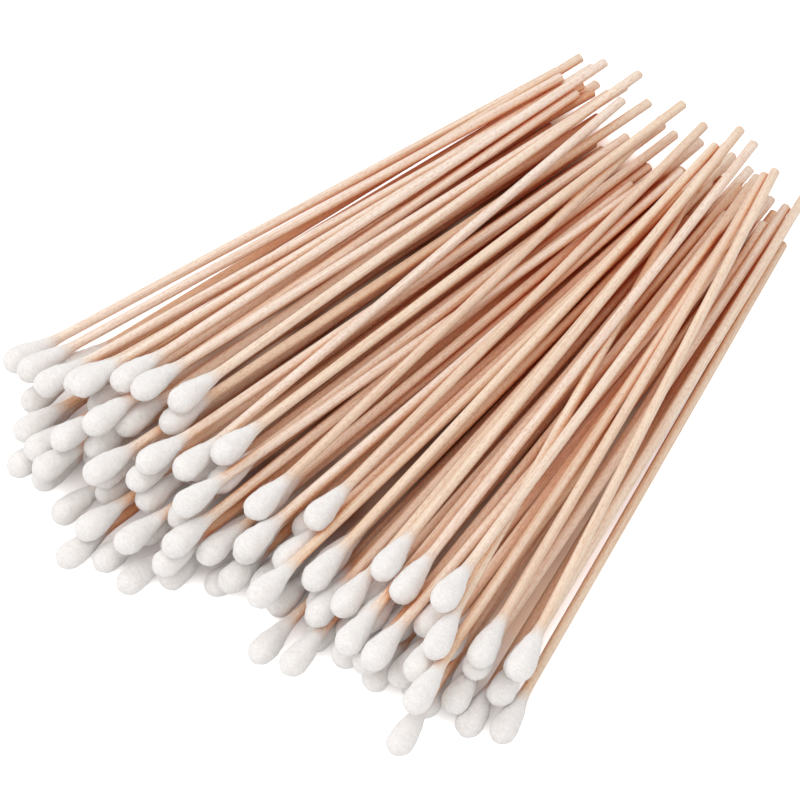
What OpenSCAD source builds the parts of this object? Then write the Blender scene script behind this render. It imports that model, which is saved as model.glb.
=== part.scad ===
/* [Swab] */
// Length of one swab, from the round end of its tip to the bare end of its stick
swab_length = 150; // [130:1:180]
// Diameter of the birch stick
stick_d = 2.2; // [1.8:0.1:2.6]
// Chamfer round the bare end of the stick
stick_chamfer = 0.2; // [0.05:0.05:0.4]
// Diameter of the cotton tip at its widest
tip_d = 5.8; // [4.6:0.1:6.4]
// Length of the cotton tip
tip_length = 15; // [12:0.5:20]
// Length of the tip's rounded end, up to its widest place
crown_length = 3.2; // [2.8:0.2:4.4]
// Cotton in front of the end of the stick
crown_cover = 2.2; // [1.4:0.2:2.6]
// Thickness to which the cotton thins out on the stick
cotton_edge = 0.15; // [0.1:0.05:0.3]

/* [Heap] */
// Air between two swabs where one rests on the other
rest_gap = 0.25; // [0.2:0.05:0.4]
// How far a tip strays sideways from its place in the row
stray_side = 1; // [0:0.1:2]
// How far a tip strays along the stick from its place in the row
stray_along = 5; // [0:0.5:8]
// How far a bare end strays sideways from its place in the row
stray_end = 0.8; // [0:0.2:3]
// How far a tip gives way sideways to find a lower place
tip_nudge = 1.4; // [0:0.1:3]
// How far a bare end gives way sideways to find a lower place
end_nudge = 1.2; // [0:0.1:3]
// How far a swab of the loose rows slides along its stick to find a lower place
slide = 6; // [0:0.5:8]
// Number that picks one heap out of the many with these sizes
heap_seed = 37; // [1:1:99]

/* [Hidden] */
// Each row laid loosely: name, number of swabs, first tip, last tip, bow of the row, and x of the first and
// the last bare end
ROWS = [
    ["left_row_1", 14, [-58, -55], [4, -64], -12, -30, 9],
    ["right_row_1", 11, [11, -60], [69, -60], -9, 12, 33],
    ["left_row_2", 13, [-57, -51], [7, -59], -10, -29, 11],
    ["right_row_2", 10, [13, -58], [69, -57], -8, 13, 34],
    ["left_row_3", 13, [-48, -48], [12, -55], -8, -26, 12],
    ["right_row_3", 10, [17, -56], [69, -55], -7, 14, 34],
];
// Each top row, laid one by one: name, and for each swab x and y of its tip and x of its bare end
TOP_ROWS = [
    ["left_row_4", [[-58, -54, -27], [-50, -57, -24], [-47, -54, -21], [-43, -56, -21], [-32, -61, -22],
        [-19, -62, -4], [-12, -58, -12]]],
    ["right_row_4", [[20, -71, 15], [10, -64, 11], [49, -69, 33], [63, -72, 31], [45, -69, 22],
        [62, -61, 17]]],
    ["left_row_5", [[-34, -50, -20], [-31, -50, -16], [-23, -47, -15], [-6, -65, 9], [9, -56, -2],
        [20, -50, 8], [-5, -51, 0]]],
    ["right_row_5", [[34, -61, 20], [28, -60, 18], [65, -54, 27], [73, -51, 28], [46, -53, 24], [40, -52, 17],
        [57, -53, 24]]],
];
// Each swab that lies a little apart: name, its tip, and a point under its bare end
LONE = [
    ["left_lone", [-69, -49], [-33.5, 95]],
    ["right_lone", [75, -57], [38.5, 85]],
];
GROUPS = [for (g = concat(LONE, ROWS, TOP_ROWS)) g[0]];
$fn = 48;

stick_r = stick_d / 2;
tip_r = tip_d / 2;
neck_r = stick_r + cotton_edge;
// Middle of the largest ball that fits in the tip's rounded end
nose = 2 * tip_r * tip_r * crown_length / (crown_length * crown_length + tip_r * tip_r);
// Place of the centre of gravity: the cotton shifts it from the middle towards the tip
balance_share = 0.44;
balance = swab_length * balance_share;
// A swab tries either side
SIDEWAYS = [-1, 1];
// Steps in the outline of each stretch of the tip
steps = 7;
// How square the bow of a row is: 2 bows evenly, and more keeps its middle straight
bow_power = 4;
// Stretches between the places where a swab feels for a contact, on its tip and on its stick
tip_stretches = 4;
stick_stretches = 6;
// Difference in height that no longer counts
close_enough = 0.0001;

function clamp(value, low, high) = min(max(value, low), high);

function mix(a, b, t) = a + (b - a) * t;

// How far along the tip's taper a place lies, from 0 at its widest to 1 at its edge on the stick
function down_taper(s) = (s - crown_length) / (tip_length - crown_length);

// Radius of a swab at a distance s from the round end of its tip
function girth(s) =
    s >= tip_length ? stick_r :
    s >= crown_length ? mix(tip_r, neck_r, (1 - cos(180 * down_taper(s))) / 2) :
    tip_r * sqrt(max(0, 1 - pow(1 - s / crown_length, 2)));

// Places on a swab where it feels for a contact
TIP_FEELERS = [
    nose / 2, nose, crown_length,
    for (k = [1 : tip_stretches]) mix(crown_length, tip_length, k / tip_stretches),
];
STICK_FEELERS = [for (k = [1 : stick_stretches]) mix(tip_length, swab_length, k / stick_stretches)];
FEELERS = concat(TIP_FEELERS, STICK_FEELERS);

// A plan is [x, y, unit x, unit y] from the tip; a resting swab adds [height of its axis at the tip, slope]
function along(plan, s) = [plan[0] + plan[2] * s, plan[1] + plan[3] * s];

function square_to(plan, q) = (q.x - plan[0]) * plan[2] + (q.y - plan[1]) * plan[3];

function beside(plan, q) = (q.x - plan[0]) * plan[3] - (q.y - plan[1]) * plan[2];

function towards(tip, end) = let (way = end - tip) [tip.x, tip.y, way.x / norm(way), way.y / norm(way)];

// Height that an axis needs at the point q, with radius r there, to clear a swab that already lies
function clearing(q, r, lying) =
    let (t = clamp(square_to(lying, q), nose, swab_length),
         off = q - along(lying, t),
         reach = r + girth(t) + rest_gap,
         room = reach * reach - off * off)
    room > 0 ? lying[4] + t * lying[5] + sqrt(room) : 0;

// Contacts of a plan with one lying swab, each [distance, height]: at the plan's own feelers, where the swab
// crosses it, and at the swab's feelers
function contacts_with(plan, lying) =
    let (near = beside(plan, lying), far = beside(plan, along(lying, swab_length)),
         back = square_to(plan, lying),
         turn = plan[2] * lying[2] + plan[3] * lying[3],
         crossing = near == far ? 0 : near / (near - far) * swab_length,
         theirs = [crossing, each TIP_FEELERS, swab_length],
         places = [each FEELERS, for (s = theirs) clamp(back + s * turn, nose, swab_length)])
    [for (s = places) let (h = clearing(along(plan, s), girth(s), lying)) if (h > 0) [s, h]];

// Does a lying swab come within reach of a plan?
function meets(plan, lying, reach) =
    let (near = beside(plan, lying), far = beside(plan, along(lying, swab_length)))
    (near < reach || far < reach) && (near > -reach || far > -reach);

// Height over the centre of gravity of a line of the given slope that touches a contact
function height_over(contact, slope) = contact[1] + slope * (balance - contact[0]);

// The swab comes to rest on two contacts, one on each side of its centre of gravity:
// [height at the tip, slope]
function settle(contacts, front, back, turns = 12) =
    let (slope = (back[1] - front[1]) / (back[0] - front[0]),
         heights = [for (c = contacts) height_over(c, slope)],
         top = max(heights))
    turns == 0 || top < height_over(front, slope) + close_enough ? [top - slope * balance, slope] :
    let (c = [for (k = [0 : len(contacts) - 1]) if (heights[k] == top) contacts[k]][0])
    c[0] < balance ? settle(contacts, c, back, turns - 1) : settle(contacts, front, c, turns - 1);

// A swab dropped straight down on the floor and on the swabs that lie there
function dropped(plan, heap) =
    let (on_floor = [for (s = FEELERS) [s, girth(s)]],
         met = [for (lying = heap) if (meets(plan, lying, 2 * tip_r + rest_gap)) lying],
         on_heap = [for (lying = met) each contacts_with(plan, lying)])
    concat(plan, settle(concat(on_floor, on_heap), [crown_length, tip_r], [swab_length, stick_r]));

function lowest(found) =
    let (heights = [for (f = found) f[4] + f[5] * balance], low = min(heights))
    [for (k = [0 : len(found) - 1]) if (heights[k] == low) found[k]][0];

// The lowest place among a swab's own and those that it finds when its tip and its bare end shift
function tried(swab, shifts, heap) =
    let (tip = along(swab, 0), end = along(swab, swab_length))
    lowest([swab, for (s = shifts) dropped(towards(tip + s[0], end + s[1]), heap)]);

// A swab set down at a place gives way with its tip, slides along its stick, and gives way with its bare end
function nudged(place, heap) =
    let (tip = place[0], end = place[1], slides = place[2],
         reach = 2 * tip_r + rest_gap + max(tip_nudge, end_nudge),
         close = [for (lying = heap) if (meets(towards(tip, end), lying, reach)) lying],
         first = dropped(towards(tip, end), close),
         aside = tried(first, [for (a = SIDEWAYS) [[a * tip_nudge, 0], [0, 0]]], close),
         ways = [for (a = SIDEWAYS) if (slides > 0) [0, a * slides]],
         slid = tried(aside, [for (way = ways) [way, way]], close))
    tried(slid, [for (a = SIDEWAYS) [[0, 0], [a * end_nudge, 0]]], close);

// Places of one row, each [tip, point under the bare end, how far it slides]
function row_places(r) =
    let (row = ROWS[r], n = row[1], stray = rands(-1, 1, 3 * n, heap_seed * len(ROWS) + r))
    [for (i = [0 : n - 1])
        let (t = i / (n - 1),
             bow = row[4] * (1 - pow(2 * t - 1, bow_power)),
             tip = mix(row[2], row[3], t) + [stray[3 * i] * stray_side, bow + stray[3 * i + 1] * stray_along],
             end = [mix(row[5], row[6], t) + stray[3 * i + 2] * stray_end, tip.y + swab_length])
        [tip, end, slide]];

function lay(places, heap = [], i = 0) =
    i == len(places) ? heap : lay(places, concat(heap, [nudged(places[i], heap)]), i + 1);

// The whole heap, in the order in which it was laid: the lone swabs, then row on row. The lone swabs and the
// top rows don't slide
HEAP = lay([
    for (g = LONE) [g[1], g[2], 0],
    for (r = [0 : len(ROWS) - 1]) each row_places(r),
    for (g = TOP_ROWS) for (swab = g[1]) [[swab[0], swab[1]], [swab[2], swab[1] + swab_length], 0],
]);
COUNTS = [for (g = LONE) 1, for (g = ROWS) g[1], for (g = TOP_ROWS) len(g[1])];
function first_of(g) = g == 0 ? 0 : first_of(g - 1) + COUNTS[g - 1];

// Middle of the heap's floor area
function widest(s) = [for (swab = HEAP) along(swab, s)];
SIDES = [for (q = widest(crown_length)) each [q.x - tip_r, q.x + tip_r]];
ENDS = [for (q = concat(widest(0), widest(swab_length))) q.y];
middle = [(min(SIDES) + max(SIDES)) / 2, (min(ENDS) + max(ENDS)) / 2, 0];

// Outline of the tip, from its round end to its edge on the stick, and back along the stick
TIP_OUTLINE = [
    for (k = [0 : steps]) [tip_r * sin(90 * k / steps), crown_length * (1 - cos(90 * k / steps))],
    for (k = [1 : steps - 1]) let (s = mix(crown_length, tip_length, k / steps)) [girth(s), s],
    [neck_r, tip_length],
    [stick_r, tip_length], [stick_r, crown_cover], [0, crown_cover],
];
STICK_OUTLINE = [
    [0, crown_cover], [stick_r, crown_cover], [stick_r, swab_length - stick_chamfer],
    [stick_r - stick_chamfer, swab_length], [0, swab_length],
];

module in_place(swab) {
    way = [swab[2], swab[3], swab[5]];
    translate([swab[0], swab[1], swab[4]] - middle)
        rotate([0, acos(way.z / norm(way)), atan2(way.y, way.x)])
            children();
}

module stick() color("burlywood") rotate_extrude() polygon(STICK_OUTLINE);

module cotton_tip() color("white") rotate_extrude() polygon(TIP_OUTLINE);

module sticks(g) for (i = [0 : COUNTS[g] - 1]) in_place(HEAP[first_of(g) + i]) stick();

module tips(g) for (i = [0 : COUNTS[g] - 1]) in_place(HEAP[first_of(g) + i]) cotton_tip();

for (g = [0 : len(GROUPS) - 1]) {
    sticks(g);
    tips(g);
}
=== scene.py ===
"""A heap of long wooden cotton swabs: birch sticks with a fine grain, and a tip of wound cotton on each."""

import math
import random
from contextlib import contextmanager

import bmesh
import bpy
import numpy as np
from mathutils import Matrix, Vector
from mathutils.bvhtree import BVHTree


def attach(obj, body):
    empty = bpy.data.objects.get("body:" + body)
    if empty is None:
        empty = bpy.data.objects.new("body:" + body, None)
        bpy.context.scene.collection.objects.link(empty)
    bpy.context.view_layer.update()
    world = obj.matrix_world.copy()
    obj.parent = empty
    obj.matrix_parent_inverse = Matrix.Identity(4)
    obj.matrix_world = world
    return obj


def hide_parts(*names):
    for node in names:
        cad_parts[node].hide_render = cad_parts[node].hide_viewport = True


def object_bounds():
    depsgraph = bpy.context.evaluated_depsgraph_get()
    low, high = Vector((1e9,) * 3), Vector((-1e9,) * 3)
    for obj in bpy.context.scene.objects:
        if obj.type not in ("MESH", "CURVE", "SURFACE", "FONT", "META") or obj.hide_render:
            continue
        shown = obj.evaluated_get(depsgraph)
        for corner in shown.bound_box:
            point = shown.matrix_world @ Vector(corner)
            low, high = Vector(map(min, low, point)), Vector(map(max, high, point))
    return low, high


bl_info = {
    "name": "Heap of Cotton Swabs",
    "version": (1, 0, 0),
    "blender": (4, 5, 0),
    "location": "View3D > Sidebar > Swabs",
    "description": "Dresses a heap of wooden cotton swabs: birch sticks, wound cotton tips and a white stage",
    "category": "Object",
}

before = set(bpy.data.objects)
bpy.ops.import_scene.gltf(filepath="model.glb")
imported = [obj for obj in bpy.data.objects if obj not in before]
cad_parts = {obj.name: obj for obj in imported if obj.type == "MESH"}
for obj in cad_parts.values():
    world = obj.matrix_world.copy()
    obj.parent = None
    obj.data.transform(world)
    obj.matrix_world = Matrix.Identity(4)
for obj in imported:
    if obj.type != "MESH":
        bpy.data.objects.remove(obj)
cad_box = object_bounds()

MM = 0.001
PLACE = "swab_place"
TONE = "swab_tone"
OPEN_SKY = "open_sky"
ROWS = sorted(name.removesuffix("_sticks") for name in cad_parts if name.endswith("_sticks"))
WHITE = (1.0, 1.0, 1.0)
BLACK = (0.0, 0.0, 0.0)

# Points nearer than this are one point.
SAME_POINT = 0.001 * MM
# How far apart two pieces are set in the same noise, in metres.
NOISE_STEP = Vector((0.37, 0.51, 0.73))
# How far apart two swabs are set in the same pattern, for each unit of their tone.
TONE_STEP = (9.1, 5.3, 7.7)

# The length of a tip's round crown beside the common one, from the shortest to the longest.
FULLNESS = (0.9, 1.12)
# A loose fibre: how many kinds, the stretches of one, and its lean and sway over its length.
FIBRE_KINDS = 4
FIBRE_STRETCHES = 4
FIBRE_LEAN = (0.3, 0.5)
FIBRE_SWAY = (-0.3, 0.3)
# How a fibre is laid: its swing off the tip's length in radians, its bow and its length beside the drawn one.
FIBRE_SWING = 0.7
FIBRE_BOW = (0.3, 1.3)
FIBRE_SPAN = (0.5, 1.1)

# Stretches of a noise on which a finish turns from one colour to the next.
GRAIN_LINES = (0.45, 0.7)
GRAIN_CLOUDS = (0.35, 0.65)
GRAIN_PORES = (0.5, 0.7)
STRANDS = (0.35, 0.65)
# Height of the grain's lines beside its broad swells.
LINE_HEIGHT = 0.4
# Where the cotton's edge begins to thin and where it ends, past the tip's own end, in lengths of the fade.
EDGE_THINS = (-0.6, 0.3)
# Shares of open sky at which the painted shade on wood and ground begins to lift, and at which it is gone and
# they lie open.
WOOD_OPENNESS = (0.15, 0.64)
GROUND_OPENNESS = (0.02, 0.3)
# Rays that look for what covers a point of the wood, and a point of the ground.
WOOD_RAYS = 3
SKY_RAYS = 32

# How many times wider than its fine part the floor is.
FLOOR_SPREAD = 100
# The camera sees from this part of its distance up to this many times the distance.
CLIP_RANGE = 100


def length_value(name, text, default):
    """A size in metres that shows with its unit."""
    return bpy.props.FloatProperty(
        name=name, description=text, default=default, min=0, unit="LENGTH", precision=6
    )


def colour_value(name, text, default):
    """A colour picked in the scene's own linear values."""
    return bpy.props.FloatVectorProperty(
        name=name, description=text, default=default, min=0, max=1, subtype="COLOR"
    )


def share_value(name, text, default, top=1.0):
    """A plain number from 0 to top."""
    return bpy.props.FloatProperty(name=name, description=text, default=default, min=0, max=top)


def angle_value(name, text, degrees):
    """An angle that is written in degrees."""
    angle = math.radians(degrees)
    return bpy.props.FloatProperty(name=name, description=text, default=angle, subtype="ANGLE")


def count_value(name, text, default, low):
    """A whole number from a lowest one."""
    return bpy.props.IntProperty(name=name, description=text, default=default, min=low)


class StickSizes(bpy.types.PropertyGroup):
    """How a stick is drawn out."""

    kinds: count_value("Kinds", "Sticks modelled by hand, then copied", 5, 1)
    sides: count_value("Sides", "Faces round a stick", 20, 8)
    rings: count_value("Rings", "Stretches along a stick", 16, 2)
    rim: length_value("Rim", "Rounding of the bare end's rim", 0.16 * MM)
    unevenness: length_value("Unevenness", "How far the sanded surface swells and dips", 0.09 * MM)
    swell: length_value("Swell", "Distance between two swellings round the stick", 1.5 * MM)
    squash: share_value("Squash", "Distance of two swellings round the stick over that along it", 0.12)
    crease: angle_value("Crease", "Angle from which an edge stays sharp", 50)


class TipSizes(bpy.types.PropertyGroup):
    """How a cotton tip is wound."""

    kinds: count_value("Kinds", "Tips modelled by hand, then copied", 6, 1)
    sides: count_value("Sides", "Faces round a tip", 40, 12)
    rings: count_value("Rings", "Rings from the edge to the round end", 46, 8)
    crown: length_value("Crown", "Distance of the widest place from the round end", 3.2 * MM)
    edge: length_value("Edge", "Thickness to which the cotton thins out on the stick", 0.04 * MM)
    lump: length_value("Lump", "Height of the soft lumps", 0.4 * MM)
    lump_spread: length_value("Lump spread", "Distance between two lumps", 4.2 * MM)
    tuft: length_value("Tuft", "Height of the small tufts", 0.24 * MM)
    tuft_spread: length_value("Tuft spread", "Distance between two tufts", 1.5 * MM)
    fibres: count_value("Fibres", "Loose fibres on a tip", 56, 0)
    fibre_radius: length_value("Fibre radius", "Radius of a loose fibre", 0.02 * MM)
    fibre_length: length_value("Fibre length", "Length of a loose fibre", 2.2 * MM)
    crease: angle_value("Crease", "Angle from which an edge stays sharp", 60)


class BirchFinish(bpy.types.PropertyGroup):
    """Colours and grain of the sanded birch, and the painted shade between the sticks."""

    pale: colour_value("Pale", "The palest sticks", (0.93, 0.80, 0.70))
    rosy: colour_value("Rosy", "The common stick", (0.91, 0.75, 0.64))
    honey: colour_value("Honey", "The yellower sticks", (0.90, 0.73, 0.56))
    brown: colour_value("Brown", "The browner sticks", (0.83, 0.63, 0.49))
    streak: colour_value("Streak", "Darker lines of the grain", (0.66, 0.40, 0.26))
    # Painted shade: side, crevice and hollow are casts multiplied into the wood's colour where neighbours
    # hide the sky. They run from a faint warm tint to dark red deep between two sticks.
    side: colour_value("Side", "Warm cast of wood that faces a neighbour", (1.0, 0.945, 0.815))
    painted_crevice_shade: colour_value("Crevice", "Cast of wood low on a stick's side", (0.98, 0.64, 0.26))
    painted_hollow_shade: colour_value("Hollow", "Cast of wood deep between two sticks", (0.80, 0.07, 0.005))
    streak_share: share_value("Streaks", "How strongly the grain's lines show", 0.7)
    streak_width: length_value("Streak width", "Distance between two lines of the grain", 0.34 * MM)
    streak_stretch: share_value("Stretch", "Length of a line over its width", 60, 500)
    cloud_share: share_value("Clouds", "How strongly the broad pale clouds show", 0.3)
    stipple: share_value("Stipple", "How strongly the open pores show", 0.5)
    # Reach of the painted shade: how far from a neighbour the wood's colour still darkens.
    painted_shade_reach: length_value("Hollow reach", "How far the wood darkens from a neighbour", 8 * MM)
    roughness: share_value("Roughness", "Roughness of sanded wood without lacquer", 0.62)
    gloss: share_value("Gloss", "Level of the faint reflections", 0.25)
    relief: length_value("Relief", "Depth of the grain", 0.09 * MM)


class CottonFinish(bpy.types.PropertyGroup):
    """Colour and softness of the cotton."""

    white: colour_value("White", "Bleached cotton", (0.93, 0.91, 0.895))
    shade: colour_value("Shade", "Thinner and denser places", (0.77, 0.725, 0.695))
    fade: length_value("Fade", "Stretch on which the wood shows through at the edge", 4.5 * MM)
    fibre_width: length_value("Fibre width", "Distance between two strands of the winding", 0.24 * MM)
    fibre_stretch: share_value("Fibre stretch", "Length of a strand over its width", 4, 50)
    wound_share: share_value("Wound share", "Strands that go round the tip, the others run along it", 0.6)
    relief: length_value("Relief", "Depth of the winding", 0.16 * MM)
    roughness: share_value("Roughness", "Roughness of the cotton", 0.95)
    gloss: share_value("Gloss", "Level of the faint reflections", 0.1)
    softness: share_value("Softness", "Share of the light that passes through the fibres", 0.35)
    softness_reach: length_value("Reach", "How far light travels in the cotton", 0.9 * MM)
    softness_tint: colour_value("Softness tint", "How far each colour travels beside that", (1.0, 0.95, 0.9))
    sheen: share_value("Sheen", "Brightness of the fuzz seen edge on", 0.35)
    sheen_roughness: share_value("Sheen roughness", "How widely the fuzz spreads its light", 0.6)


class StageSizes(bpy.types.PropertyGroup):
    """The camera's place, the ground and the lamps."""

    azimuth: angle_value("Azimuth", "The camera's turn round the heap", 40)
    elevation: angle_value("Elevation", "The camera's angle above the ground", 51)
    distance: length_value("Distance", "From the aim to the camera", 1.1)
    aim: bpy.props.FloatVectorProperty(
        name="Aim",
        description="Point on the ground at the picture's middle",
        default=(-2.2 * MM, -10.2 * MM, 0),
        subtype="TRANSLATION",
        unit="LENGTH",
    )
    view_width: length_value("View width", "Width that the picture shows at the aim", 172.6 * MM)
    ground: colour_value("Ground", "Colour of the ground", (0.88, 0.88, 0.88))
    # Painted shade and painted warm bounce light on the ground, chosen by how much sky is open: the glow left
    # under and between the tips, the warm glow between the sticks, and the ground's colours under and near
    # tips and sticks.
    light_under_cotton: share_value("Light under cotton", "White left on the ground deep under the tips", 0.1)
    light_near_cotton: share_value("Light near cotton", "White left on the ground seen between two tips", 0.5)
    light_near_wood: colour_value("Light near wood", "Light left between two sticks", (0.44, 0.32, 0.24))
    painted_shade_under_wood: colour_value("Under wood", "Colour of the ground deep under the sticks", (0.36, 0.13, 0.055))
    painted_shade_near_wood: colour_value("Near wood", "Colour of the ground seen between two sticks", (0.84, 0.66, 0.52))
    painted_shade_under_cotton: colour_value("Under cotton", "Colour of the ground deep under the tips", (0.50, 0.40, 0.35))
    painted_shade_near_cotton: colour_value("Near cotton", "Colour of the ground seen between two tips", (0.86, 0.81, 0.78))
    cotton_strip: length_value("Cotton strip", "Depth of the ground under the tips", 31 * MM)
    strip_end: length_value("Strip end", "Stretch on which that strip ends", 20 * MM)
    ground_glow: share_value("Ground glow", "White that only the camera sees on the open ground", 0.75)
    ground_reach: length_value("Ground reach", "Height up to which the heap covers the ground", 40 * MM)
    ground_cell: length_value("Ground cell", "Width of a cell of the ground round the heap", 3 * MM)
    fine_ground: length_value("Fine ground", "Width of the finely divided ground", 252 * MM)
    ambient: share_value("Ambient", "Level of the light from all round", 0.74, 10)
    key: share_value("Key", "Watts of the large lamp over the tips' left", 3, 1000)
    fill: share_value("Fill", "Watts of the lamp in front", 6.7, 1000)


def settings(name):
    """One of this file's groups of settings."""
    return getattr(bpy.context.scene, "swabs_" + name)


def deselect():
    """Nothing stays selected, the frame's own nodes included."""
    for thing in bpy.context.selected_objects:
        thing.select_set(False)


def select_only(piece):
    deselect()
    piece.select_set(True)
    bpy.context.view_layer.objects.active = piece


@contextmanager
def edit_mode(piece):
    """Work on one piece in edit mode."""
    select_only(piece)
    bpy.ops.object.mode_set(mode="EDIT")
    yield
    bpy.ops.object.mode_set(mode="OBJECT")


def choose_points(piece, wanted):
    """Select the points that pass a test, for the next turn in edit mode."""
    for part in (*piece.data.edges, *piece.data.polygons):
        part.select = False
    for vert in piece.data.vertices:
        vert.select = wanted(vert.co)


def apply_modifier(piece, kind, **values):
    select_only(piece)
    modifier = piece.modifiers.new(kind.title(), kind)
    for name, value in values.items():
        setattr(modifier, name, value)
    bpy.ops.object.modifier_apply(modifier=modifier.name)


def roughen(piece, height, spread, seed, where=""):
    """Swell and dent a surface softly. A piece set elsewhere meets another stretch of the same noise."""
    noise = bpy.data.textures.new("Swelling", "CLOUDS")
    noise.noise_scale = spread
    noise.noise_depth = 1
    piece.location = NOISE_STEP * seed
    bpy.context.view_layer.update()
    apply_modifier(
        piece,
        "DISPLACE",
        texture=noise,
        texture_coords="GLOBAL",
        strength=height,
        mid_level=0.5,
        vertex_group=where,
    )
    piece.location = (0, 0, 0)
    bpy.data.textures.remove(noise)


def solids_of(node):
    """Axis of each turned solid of a CAD node: its front end, its back end and its largest radius."""
    mesh = bmesh.new()
    mesh.from_mesh(node.data)
    bmesh.ops.remove_doubles(mesh, verts=mesh.verts, dist=SAME_POINT)
    mesh.verts.ensure_lookup_table()
    seen = set()
    found = []
    for start in mesh.verts:
        if start in seen:
            continue
        seen.add(start)
        group = [start]
        for vert in group:
            for edge in vert.link_edges:
                other = edge.other_vert(vert)
                if other not in seen:
                    seen.add(other)
                    group.append(other)
        points = np.array([vert.co for vert in group], float)
        centre = points.mean(0)
        way = np.linalg.svd(points - centre, full_matrices=False)[2][0]
        way = way if way[1] > 0 else -way
        along = (points - centre) @ way
        across = np.linalg.norm(points - centre - along[:, None] * way, axis=1)
        front = Vector(centre + way * along.min())
        back = Vector(centre + way * along.max())
        found.append((front, back, float(across.max())))
    mesh.free()
    return found


class Swab:
    """One swab of the heap, as its two solids lie in the frame."""

    def __init__(self, stick, tip, dice):
        self.stick_front, self.stick_back, self.stick_radius = stick
        self.tip_front, self.tip_back, self.tip_radius = tip
        self.tone = dice.random()
        self.roll = dice.uniform(0, math.tau)
        self.kind = dice.randrange(1000)

    def place(self, front, back):
        """Turns a piece modelled along Z from the origin to lie from front to back."""
        turn = (back - front).to_track_quat("Z", "Y").to_matrix().to_4x4()
        return Matrix.Translation(front) @ turn @ Matrix.Rotation(self.roll, 4, "Z")


def swabs_of(row):
    """The swabs of one row, each stick matched with the tip that its front end is in."""
    sticks = solids_of(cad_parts[row + "_sticks"])
    tips = solids_of(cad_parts[row + "_tips"])
    dice = random.Random(row)
    found = []
    for stick in sticks:
        tip = min(tips, key=lambda solid: (solid[0] - stick[0]).length)
        found.append(Swab(stick, tip, dice))
    return found


HEAP = {row: swabs_of(row) for row in ROWS}
FIRST = HEAP[ROWS[0]][0]
STICK_LENGTH = (FIRST.stick_back - FIRST.stick_front).length
STICK_RADIUS = FIRST.stick_radius
TIP_LENGTH = (FIRST.tip_back - FIRST.tip_front).length
TIP_RADIUS = FIRST.tip_radius
SOCKET_DEPTH = (FIRST.tip_back - FIRST.stick_front).length


def turn_stick(kind):
    """A stick along Z, with the end that sits in the cotton at the origin.

    It is swollen while it is squashed, so that the swellings come out long."""
    sizes = settings("stick_sizes")
    deselect()
    bpy.ops.mesh.primitive_circle_add(vertices=sizes.sides, radius=STICK_RADIUS, fill_type="NGON")
    stick = bpy.context.object
    with edit_mode(stick):
        for _ in range(sizes.rings):
            step = (0, 0, STICK_LENGTH / sizes.rings)
            bpy.ops.mesh.extrude_region_move(TRANSFORM_OT_translate={"value": step})
        bpy.ops.mesh.bevel(offset=sizes.rim, segments=2, affect="EDGES")
        bpy.ops.mesh.select_all(action="SELECT")
        bpy.ops.mesh.normals_make_consistent(inside=False)
        bpy.ops.transform.resize(value=(1, 1, sizes.squash), center_override=(0, 0, 0))
    roughen(stick, sizes.unevenness, sizes.swell, kind + 1)
    with edit_mode(stick):
        bpy.ops.mesh.select_all(action="SELECT")
        bpy.ops.transform.resize(value=(1, 1, 1 / sizes.squash), center_override=(0, 0, 0))
    bpy.ops.object.shade_smooth_by_angle(angle=sizes.crease)
    return stick


def tip_radius_at(height, fullness):
    """Outline of the cotton at a height over the round end: an oval crown, then a long taper to the stick."""
    sizes = settings("tip_sizes")
    crown = sizes.crown * fullness
    if height < crown:
        return TIP_RADIUS * math.sqrt(max(0, 1 - (1 - height / crown) ** 2))
    neck = STICK_RADIUS + sizes.edge
    fall = (1 - math.cos(math.pi * (height - crown) / (TIP_LENGTH - crown))) / 2
    return TIP_RADIUS + (neck - TIP_RADIUS) * fall


def ring_heights(fullness):
    """Heights of the rings from the edge down to the round end, closer together as the crown closes."""
    sizes = settings("tip_sizes")
    crown = sizes.crown * fullness
    dome = sizes.rings // 3
    taper = sizes.rings - dome
    heights = [TIP_LENGTH + (crown - TIP_LENGTH) * k / taper for k in range(1, taper + 1)]
    heights += [crown * (1 - math.sin(math.pi / 2 * k / dome)) for k in range(1, dome)]
    return heights


def loose_edge(piece):
    """A group of the points that lumps may move: all of the tip but its thin edge on the stick."""
    group = piece.vertex_groups.new(name="soft")
    for vert in piece.data.vertices:
        free = (TIP_LENGTH - vert.co.z) / (TIP_LENGTH / 3)
        group.add([vert.index], min(1, max(0, free)), "REPLACE")


def wind_tip(kind, fibres):
    """A cotton tip along Z, its round end at the origin, drawn out ring by ring from its edge."""
    sizes = settings("tip_sizes")
    dice = random.Random(f"tip {kind}")
    fullness = dice.uniform(*FULLNESS)
    deselect()
    radius = tip_radius_at(TIP_LENGTH, fullness)
    bpy.ops.mesh.primitive_circle_add(
        vertices=sizes.sides, radius=radius, fill_type="NGON", location=(0, 0, TIP_LENGTH)
    )
    tip = bpy.context.object
    bpy.ops.object.transform_apply(location=True)
    with edit_mode(tip):
        height = TIP_LENGTH
        for lower in ring_heights(fullness):
            bpy.ops.mesh.extrude_region_move(TRANSFORM_OT_translate={"value": (0, 0, lower - height)})
            grown = tip_radius_at(lower, fullness) / radius
            bpy.ops.transform.resize(value=(grown, grown, 1), center_override=(0, 0, lower))
            radius *= grown
            height = lower
        bpy.ops.mesh.extrude_region_move(TRANSFORM_OT_translate={"value": (0, 0, -height)})
        bpy.ops.mesh.merge(type="CENTER")
        bpy.ops.mesh.select_all(action="SELECT")
        bpy.ops.mesh.normals_make_consistent(inside=False)
    loose_edge(tip)
    roughen(tip, sizes.lump, sizes.lump_spread, kind + 1, "soft")
    roughen(tip, sizes.tuft, sizes.tuft_spread, kind + 1, "soft")
    tip.vertex_groups.clear()
    bore_socket(tip)
    comb_fibres(tip, fibres, dice)
    bpy.ops.object.shade_smooth_by_angle(angle=sizes.crease)
    return tip


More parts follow.
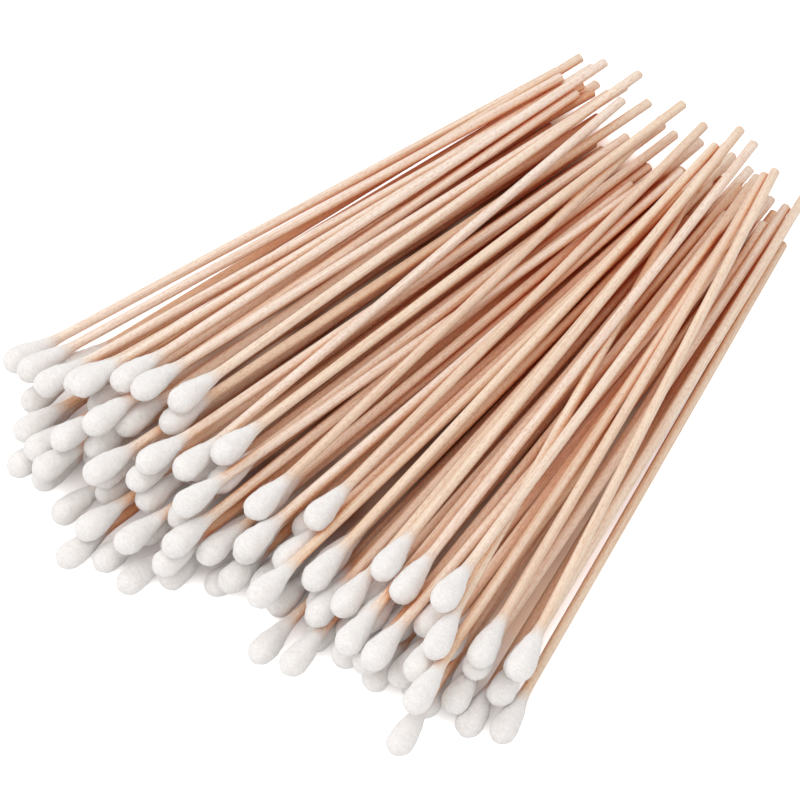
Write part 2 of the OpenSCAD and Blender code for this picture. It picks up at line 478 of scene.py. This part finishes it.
def bore_socket(tip):
    """The blind hole in which the stick sits, sunk from the flat ring at the tip's edge."""
    sizes = settings("tip_sizes")
    choose_points(tip, lambda point: point.z > TIP_LENGTH - SAME_POINT)
    with edit_mode(tip):
        bpy.ops.mesh.inset(thickness=sizes.edge)
        bpy.ops.mesh.extrude_region_move(TRANSFORM_OT_translate={"value": (0, 0, -SOCKET_DEPTH)})


def draw_fibre(kind):
    """A loose fibre along Z that bends a little, thin as a hair."""
    sizes = settings("tip_sizes")
    dice = random.Random(f"fibre {kind}")
    deselect()
    bpy.ops.mesh.primitive_circle_add(vertices=3, radius=sizes.fibre_radius, fill_type="NGON")
    fibre = bpy.context.object
    lean = dice.uniform(*FIBRE_LEAN)
    sway = dice.uniform(*FIBRE_SWAY)
    step = sizes.fibre_length / FIBRE_STRETCHES
    with edit_mode(fibre):
        for k in range(FIBRE_STRETCHES):
            rise = lean * (1 - 2 * k / (FIBRE_STRETCHES - 1))
            side = sway * k / FIBRE_STRETCHES
            move = (side * step, rise * step, step)
            bpy.ops.mesh.extrude_region_move(TRANSFORM_OT_translate={"value": move})
        bpy.ops.mesh.select_all(action="SELECT")
        bpy.ops.mesh.normals_make_consistent(inside=False)
    return fibre


def copy_of(model, matrix):
    """A copy with a mesh of its own, put in its place in that mesh."""
    piece = model.copy()
    piece.data = model.data.copy()
    bpy.context.scene.collection.objects.link(piece)
    piece.data.transform(matrix)
    return piece


def join(first, others):
    select_only(first)
    for piece in others:
        piece.select_set(True)
    bpy.ops.object.join()
    return first


def comb_fibres(tip, fibres, dice):
    """Lay loose fibres over a tip. Each leaves the cotton at a shallow angle, bows out and comes back.

    The faces come in another order each time, so they are put in the order of their places first."""
    sizes = settings("tip_sizes")
    faces = [face for face in tip.data.polygons if face.center.length > 0 and len(face.vertices) == 4]
    clear = STICK_RADIUS * 1.1
    nose = TIP_LENGTH / 9
    outer = [face for face in faces if face.center.xy.length > clear or face.center.z < nose]
    outer.sort(key=lambda face: tuple(round(value / SAME_POINT) for value in face.center))
    laid = []
    for k in range(sizes.fibres):
        face = dice.choice(outer)
        out = face.normal
        swing = dice.gauss(0, FIBRE_SWING)
        along = Vector((0, 0, 1))
        around = out.cross(along).normalized()
        along = around.cross(out)
        way = (along * math.cos(swing) + around * math.sin(swing)).normalized()
        side = out.cross(way)
        turn = Matrix((side, out, way)).transposed().to_4x4()
        size = Matrix.Diagonal((1, dice.uniform(*FIBRE_BOW), dice.uniform(*FIBRE_SPAN), 1))
        root = Matrix.Translation(face.center - out * sizes.fibre_radius * 2)
        laid.append(copy_of(fibres[k % len(fibres)], root @ turn @ size))
    join(tip, laid)


def mark(piece, model, swab):
    """Store on each point where it is on its own swab, and the swab's tone, for the finishes to read."""
    count = len(piece.data.vertices)
    places = np.empty(count * 3, np.float32)
    model.data.vertices.foreach_get("co", places)
    turned = Matrix.Rotation(swab.roll, 3, "Z")
    places = places.reshape(-1, 3) @ np.array(turned, np.float32).T
    place = piece.data.attributes.new(PLACE, "FLOAT_VECTOR", "POINT")
    place.data.foreach_set("vector", places.ravel())
    tone = piece.data.attributes.new(TONE, "FLOAT", "POINT")
    tone.data.foreach_set("value", np.full(count, swab.tone, np.float32))


def dress_row(row, part, models, ends, finish):
    """Copy the models on the solids of one row, and make them one piece that stands for its node."""
    made = []
    for swab in HEAP[row]:
        model = models[swab.kind % len(models)]
        piece = copy_of(model, swab.place(*ends(swab)))
        mark(piece, model, swab)
        made.append(piece)
    piece = join(made[0], made[1:])
    piece.name = f"{row}_dressed_{part}"
    piece.data.name = piece.name
    piece.data.materials.clear()
    piece.data.materials.append(finish)
    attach(piece, "root")
    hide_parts(f"{row}_{part}")


def remove(things):
    for thing in things:
        bpy.data.objects.remove(thing)


class Finish:
    """A material built node by node, each node beside the one before it."""

    column_width = 200
    level_height = 120
    levels = 3

    def __init__(self, name):
        self.material = bpy.data.materials.new(name)
        self.material.use_nodes = True
        self.nodes = self.material.node_tree.nodes
        self.links = self.material.node_tree.links
        self.shader = self.nodes["Principled BSDF"]
        self.column = 0

    def node(self, kind, inputs=None, **values):
        made = self.nodes.new(kind)
        self.column += 1
        level = self.column % self.levels
        made.location = (-self.column_width * (self.column + 1.5), self.level_height * level)
        for name, value in values.items():
            setattr(made, name, value)
        for name, value in (inputs or {}).items():
            self.feed(made.inputs[name], value)
        return made

    def set(self, name, value):
        """A value that is the same all over the surface."""
        self.shader.inputs[name].default_value = value

    def join(self, name, socket):
        """A value that a node works out for each point."""
        self.links.new(socket, self.shader.inputs[name])

    def feed(self, socket, value):
        if isinstance(value, bpy.types.NodeSocket):
            self.links.new(value, socket)
        else:
            socket.default_value = value

    def place(self, scale):
        """Where a point is on its own swab, stretched by a scale."""
        place = self.node("ShaderNodeAttribute", attribute_name=PLACE).outputs["Vector"]
        step = {0: self.tone(), 1: TONE_STEP}
        step = self.node("ShaderNodeVectorMath", step, operation="MULTIPLY").outputs[0]
        apart = self.node("ShaderNodeVectorMath", {0: place, 1: step}, operation="ADD").outputs[0]
        return self.node("ShaderNodeMapping", {"Vector": apart, "Scale": scale}).outputs[0]

    def tone(self):
        return self.node("ShaderNodeAttribute", attribute_name=TONE).outputs["Fac"]

    def noise(self, vector, detail=3.0, roughness=0.55):
        inputs = {"Vector": vector, "Scale": 1.0, "Detail": detail, "Roughness": roughness}
        return self.node("ShaderNodeTexNoise", inputs).outputs["Fac"]

    def between(self, value, low, high, start=0.0, end=1.0):
        inputs = {"Value": value, "From Min": low, "From Max": high, "To Min": start, "To Max": end}
        return self.node("ShaderNodeMapRange", inputs).outputs["Result"]

    def times(self, a, b):
        return self.node("ShaderNodeMath", {0: a, 1: b}, operation="MULTIPLY").outputs[0]

    def plus(self, a, b):
        return self.node("ShaderNodeMath", {0: a, 1: b}, operation="ADD").outputs[0]

    def blend(self, share, a, b, kind="MIX"):
        mix = self.node("ShaderNodeMix", data_type="RGBA", blend_type=kind)
        self.feed(mix.inputs["Factor"], share)
        for socket, value in ((mix.inputs["A"], a), (mix.inputs["B"], b)):
            found = [s for s in mix.inputs if s.name == socket.name and s.type == "RGBA"][0]
            self.feed(found, value)
        return [s for s in mix.outputs if s.type == "RGBA"][0]

    def ramp(self, share, colours):
        """A run of colours, evenly spaced."""
        node = self.node("ShaderNodeValToRGB", {"Fac": share})
        stops = node.color_ramp.elements
        while len(stops) < len(colours):
            stops.new(0.5)
        for k, colour in enumerate(colours):
            stops[k].position = k / (len(colours) - 1)
            stops[k].color = opaque(colour)
        return node.outputs["Color"]

    def relief(self, height, depth):
        bump = self.node("ShaderNodeBump", {"Height": height, "Strength": 1.0, "Distance": depth})
        self.join("Normal", bump.outputs["Normal"])


def opaque(colour):
    return (*colour, 1.0)


def birch_tone(finish):
    """Colour of a stick as a whole: most are pale or rosy, some yellower, a few browner."""
    look = settings("birch")
    return finish.ramp(finish.tone(), (look.pale, look.rosy, look.pale, look.honey, look.brown))


def birch_colour(finish):
    """Fine lines along the stick, and painted shade, deep and warm, between two sticks where little sky is
    open. Also gives the grain's height.
    """
    look = settings("birch")
    fine = 1 / look.streak_width
    slow = fine / look.streak_stretch
    lines = finish.noise(finish.place((fine, fine, slow)), detail=4.0, roughness=0.6)
    broad = finish.noise(finish.place((fine / 3, fine / 3, slow / 3)), detail=2.0)
    pores = finish.noise(finish.place((fine, fine, fine / 3)), detail=1.0)
    streaks = finish.between(lines, *GRAIN_LINES, 0.0, look.streak_share)
    colour = finish.blend(streaks, birch_tone(finish), opaque(look.streak))
    clouds = finish.between(broad, *GRAIN_CLOUDS, 0.0, look.cloud_share)
    colour = finish.blend(clouds, colour, opaque(look.pale))
    stipple = finish.between(pores, *GRAIN_PORES, 0.0, look.stipple)
    colour = finish.blend(stipple, colour, opaque(look.streak))
    # Painted shade: the share of open sky near each point, from ambient occlusion, turns into a warm cast
    # that is multiplied into the colour.
    nearby = finish.node("ShaderNodeAmbientOcclusion", {"Distance": look.painted_shade_reach}, samples=WOOD_RAYS)
    openness = finish.between(nearby.outputs["AO"], *WOOD_OPENNESS)
    cast = finish.ramp(openness, (look.painted_hollow_shade, look.painted_crevice_shade, look.side, WHITE))
    colour = finish.blend(1.0, colour, cast, "MULTIPLY")
    return colour, finish.plus(finish.times(lines, LINE_HEIGHT), broad)


def birch_finish():
    """Sanded birch without lacquer, with painted shade between the sticks."""
    look = settings("birch")
    finish = Finish("Birch")
    colour, grain = birch_colour(finish)
    finish.join("Base Color", colour)
    finish.set("Roughness", look.roughness)
    finish.set("Specular IOR Level", look.gloss)
    finish.relief(grain, look.relief)
    return finish.material


def cotton_finish():
    """Bleached cotton: wound strands, soft light through them, and wood, with its painted shade, that shows
    through the thin edge.
    """
    look = settings("cotton")
    finish = Finish("Cotton")
    fine = 1 / look.fibre_width
    slow = fine / look.fibre_stretch
    wound = finish.noise(finish.place((slow, slow, fine)), detail=4.0, roughness=0.65)
    combed = finish.noise(finish.place((fine, fine, slow)), detail=4.0, roughness=0.65)
    strands = finish.plus(finish.times(wound, look.wound_share), finish.times(combed, 1 - look.wound_share))
    colour = finish.blend(finish.between(strands, *STRANDS), opaque(look.shade), opaque(look.white))
    place = finish.node("ShaderNodeAttribute", attribute_name=PLACE)
    height = finish.node("ShaderNodeSeparateXYZ", {0: place.outputs["Vector"]}).outputs["Z"]
    ragged = finish.plus(height, finish.times(combed, look.fade))
    thin = finish.between(ragged, *(TIP_LENGTH + look.fade * past for past in EDGE_THINS))
    # The wood seen through the thin edge brings the wood's painted shade along with its grain.
    finish.join("Base Color", finish.blend(thin, colour, birch_colour(finish)[0]))
    finish.join("Subsurface Weight", finish.between(thin, 0.0, 1.0, look.softness, 0.0))
    finish.set("Subsurface Radius", look.softness_tint)
    finish.set("Subsurface Scale", look.softness_reach)
    finish.set("Roughness", look.roughness)
    finish.set("Specular IOR Level", look.gloss)
    finish.set("Sheen Weight", look.sheen)
    finish.set("Sheen Roughness", look.sheen_roughness)
    finish.relief(strands, look.relief)
    return finish.material


def ground_finish():
    """White ground that keeps the heap's soft shadow: part of its white is light that only the camera sees.

    Covered ground loses that light, and its colour turns to painted shade: pale grey under the tips, and
    under the sticks a warm painted shade with a warm glow that stands in for light bounced off the wood."""
    look = settings("stage")
    finish = Finish("Ground")
    sky = finish.node("ShaderNodeAttribute", attribute_name=OPEN_SKY).outputs["Fac"]
    openness = finish.between(sky, *GROUND_OPENNESS)
    place = finish.node("ShaderNodeTexCoord").outputs["Object"]
    depth = finish.node("ShaderNodeSeparateXYZ", {0: place}).outputs["Y"]
    strip = cad_box[0][1] + look.cotton_strip
    at_sticks = finish.between(depth, strip, strip + look.strip_end)
    # Painted shade: the ground's colour darkens where the heap hides the sky, and is warmer under the sticks.
    painted_shade_below_tips = finish.ramp(openness, (look.painted_shade_under_cotton, look.painted_shade_near_cotton, look.ground))
    painted_shade_below_sticks = finish.ramp(openness, (look.painted_shade_under_wood, look.painted_shade_near_wood, look.ground))
    finish.join("Base Color", finish.blend(at_sticks, painted_shade_below_tips, painted_shade_below_sticks))
    # The glow fades where the heap covers the ground. Between the sticks it turns warm, a painted bounce
    # light from the wood.
    greys = [(level,) * 3 for level in (look.light_under_cotton, look.light_near_cotton, 1.0)]
    light_by_tips = finish.ramp(openness, greys)
    light_by_sticks = finish.ramp(openness, (BLACK, look.light_near_wood, WHITE))
    finish.join("Emission Color", finish.blend(at_sticks, light_by_tips, light_by_sticks))
    seen = finish.node("ShaderNodeLightPath").outputs["Is Camera Ray"]
    finish.join("Emission Strength", finish.times(seen, look.ground_glow))
    finish.set("Roughness", 1.0)
    finish.set("Specular IOR Level", 0.0)
    return finish.material


class SWABS_OT_sticks(bpy.types.Operator):
    """Turn the birch sticks and lay them where the frame has them"""

    bl_idname = "swabs.sticks"
    bl_label = "Birch Sticks"

    def execute(self, context):
        models = [turn_stick(kind) for kind in range(settings("stick_sizes").kinds)]
        birch = birch_finish()
        for row in ROWS:
            dress_row(row, "sticks", models, lambda swab: (swab.stick_front, swab.stick_back), birch)
        remove(models)
        return {"FINISHED"}


class SWABS_OT_tips(bpy.types.Operator):
    """Wind the cotton tips with their loose fibres and set them on the sticks"""

    bl_idname = "swabs.tips"
    bl_label = "Cotton Tips"

    def execute(self, context):
        fibres = [draw_fibre(kind) for kind in range(FIBRE_KINDS)]
        models = [wind_tip(kind, fibres) for kind in range(settings("tip_sizes").kinds)]
        cotton = cotton_finish()
        for row in ROWS:
            dress_row(row, "tips", models, lambda swab: (swab.tip_front, swab.tip_back), cotton)
        remove(models + fibres)
        return {"FINISHED"}


def away(azimuth, elevation):
    """Direction from the heap towards a camera or a lamp."""
    level = math.cos(elevation)
    return Vector((math.sin(azimuth) * level, -math.cos(azimuth) * level, math.sin(elevation)))


def hang_lamp(name, azimuth, elevation, distance, size, watts):
    """A square soft lamp that faces the heap, with its angles in degrees and its sizes in metres."""
    way = away(math.radians(azimuth), math.radians(elevation))
    deselect()
    bpy.ops.object.light_add(type="AREA", location=way * distance)
    lamp = bpy.context.object
    lamp.name = name
    lamp.rotation_mode = "QUATERNION"
    lamp.rotation_quaternion = way.to_track_quat("Z", "Y")
    lamp.data.size = size
    lamp.data.energy = watts


def heap_for_rays():
    """All solids of the heap as one tree that rays can be cast at."""
    points = []
    faces = []
    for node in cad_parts.values():
        first = len(points)
        points += [vert.co.copy() for vert in node.data.vertices]
        faces += [[first + k for k in face.vertices] for face in node.data.polygons]
    return BVHTree.FromPolygons(points, faces)


def sky_ways(count):
    """Directions to the sky, denser overhead as the sky's light is."""
    golden = math.pi * (3 - math.sqrt(5))
    ways = []
    for k in range(count):
        level = math.sqrt((k + 0.5) / count)
        turn = k * golden
        ways.append(Vector((level * math.cos(turn), level * math.sin(turn), math.sqrt(1 - level * level))))
    return ways


def lay_ground(look):
    """A wide floor, finely divided round the heap. Each point stores how much open sky is above it."""
    deselect()
    cells = round(look.fine_ground / look.ground_cell)
    bpy.ops.mesh.primitive_grid_add(x_subdivisions=cells, y_subdivisions=cells, size=look.fine_ground)
    floor = bpy.context.object
    floor.name = "Floor"
    rim = look.fine_ground / 2 - look.ground_cell / 2
    choose_points(floor, lambda point: max(abs(point.x), abs(point.y)) > rim)
    with edit_mode(floor):
        bpy.ops.mesh.select_mode(type="VERT")
        bpy.ops.mesh.extrude_edges_move()
        bpy.ops.transform.resize(value=(FLOOR_SPREAD, FLOOR_SPREAD, 1), center_override=(0, 0, 0))
    side = cells + 1
    fine = floor.data.vertices[:side * side]
    sky = np.ones(len(floor.data.vertices), np.float32)
    sky[:side * side] = even_out(open_sky([vert.co for vert in fine], look.ground_reach), side)
    floor.data.attributes.new(OPEN_SKY, "FLOAT", "POINT").data.foreach_set("value", sky)
    return floor


def open_sky(points, reach):
    """Share of the sky that each point sees past the heap."""
    tree = heap_for_rays()
    ways = sky_ways(SKY_RAYS)
    shares = []
    for point in points:
        covered = sum(tree.ray_cast(point, way, reach)[0] is not None for way in ways)
        shares.append(1 - covered / len(ways))
    return shares


def even_out(shares, side):
    """Soften the step from a point right under a stick to the next one, over the neighbours on all sides."""
    grid = np.array(shares).reshape(side, side)
    for _ in range(2):
        wide = np.pad(grid, 1, mode="edge")
        grid = sum(wide[i:i + side, k:k + side] for i in range(3) for k in range(3)) / 9
    return grid.ravel()


class SWABS_OT_stage(bpy.types.Operator):
    """Set the white ground, the soft lamps and the camera"""

    bl_idname = "swabs.stage"
    bl_label = "Stage"

    def execute(self, context):
        look = settings("stage")
        floor = lay_ground(look)
        floor.data.materials.append(ground_finish())
        self.light_world(look)
        hang_lamp("Key", azimuth=-75, elevation=55, distance=1.2, size=0.9, watts=look.key)
        hang_lamp("Fill", azimuth=25, elevation=60, distance=1.5, size=0.9, watts=look.fill)
        way = away(look.azimuth, look.elevation)
        bpy.ops.object.camera_add(location=Vector(look.aim) + way * look.distance)
        camera = bpy.context.object
        camera.rotation_mode = "QUATERNION"
        camera.rotation_quaternion = way.to_track_quat("Z", "Y")
        camera.data.sensor_fit = "HORIZONTAL"
        camera.data.angle = 2 * math.atan(look.view_width / 2 / look.distance)
        camera.data.clip_start = look.distance / CLIP_RANGE
        camera.data.clip_end = look.distance * CLIP_RANGE
        context.scene.camera = camera
        context.scene.view_settings.view_transform = "Standard"
        return {"FINISHED"}

    def light_world(self, look):
        """Even light from all round. The camera sees it as plain white."""
        world = bpy.data.worlds.new("Studio")
        bpy.context.scene.world = world
        world.use_nodes = True
        nodes = world.node_tree.nodes
        links = world.node_tree.links
        sky = nodes["Background"]
        sky.inputs["Color"].default_value = (1.0, 1.0, 1.0, 1.0)
        path = nodes.new("ShaderNodeLightPath")
        level = nodes.new("ShaderNodeMapRange")
        level.inputs["To Min"].default_value = look.ambient
        level.inputs["To Max"].default_value = 1.0
        links.new(path.outputs["Is Camera Ray"], level.inputs["Value"])
        links.new(level.outputs["Result"], sky.inputs["Strength"])


class SWABS_PT_heap(bpy.types.Panel):
    """Buttons for the parts of the heap, and the values that shape them"""

    bl_label = "Cotton Swabs"
    bl_space_type = "VIEW_3D"
    bl_region_type = "UI"
    bl_category = "Swabs"

    def draw(self, context):
        for operator in (SWABS_OT_sticks, SWABS_OT_tips, SWABS_OT_stage):
            self.layout.operator(operator.bl_idname)
        for name, group in GROUPS.items():
            box = self.layout.box()
            box.label(text=group.__doc__)
            for value in group.__annotations__:
                box.prop(settings(name), value)


GROUPS = {
    "stick_sizes": StickSizes,
    "tip_sizes": TipSizes,
    "birch": BirchFinish,
    "cotton": CottonFinish,
    "stage": StageSizes,
}
CLASSES = (*GROUPS.values(), SWABS_OT_sticks, SWABS_OT_tips, SWABS_OT_stage, SWABS_PT_heap)


def register():
    for cls in CLASSES:
        bpy.utils.register_class(cls)
    for name, group in GROUPS.items():
        setattr(bpy.types.Scene, "swabs_" + name, bpy.props.PointerProperty(type=group))


def unregister():
    for name in GROUPS:
        delattr(bpy.types.Scene, "swabs_" + name)
    for cls in reversed(CLASSES):
        bpy.utils.unregister_class(cls)


def main():
    register()
    bpy.ops.swabs.sticks()
    bpy.ops.swabs.tips()
    bpy.ops.swabs.stage()


if __name__ == "__main__":
    main()
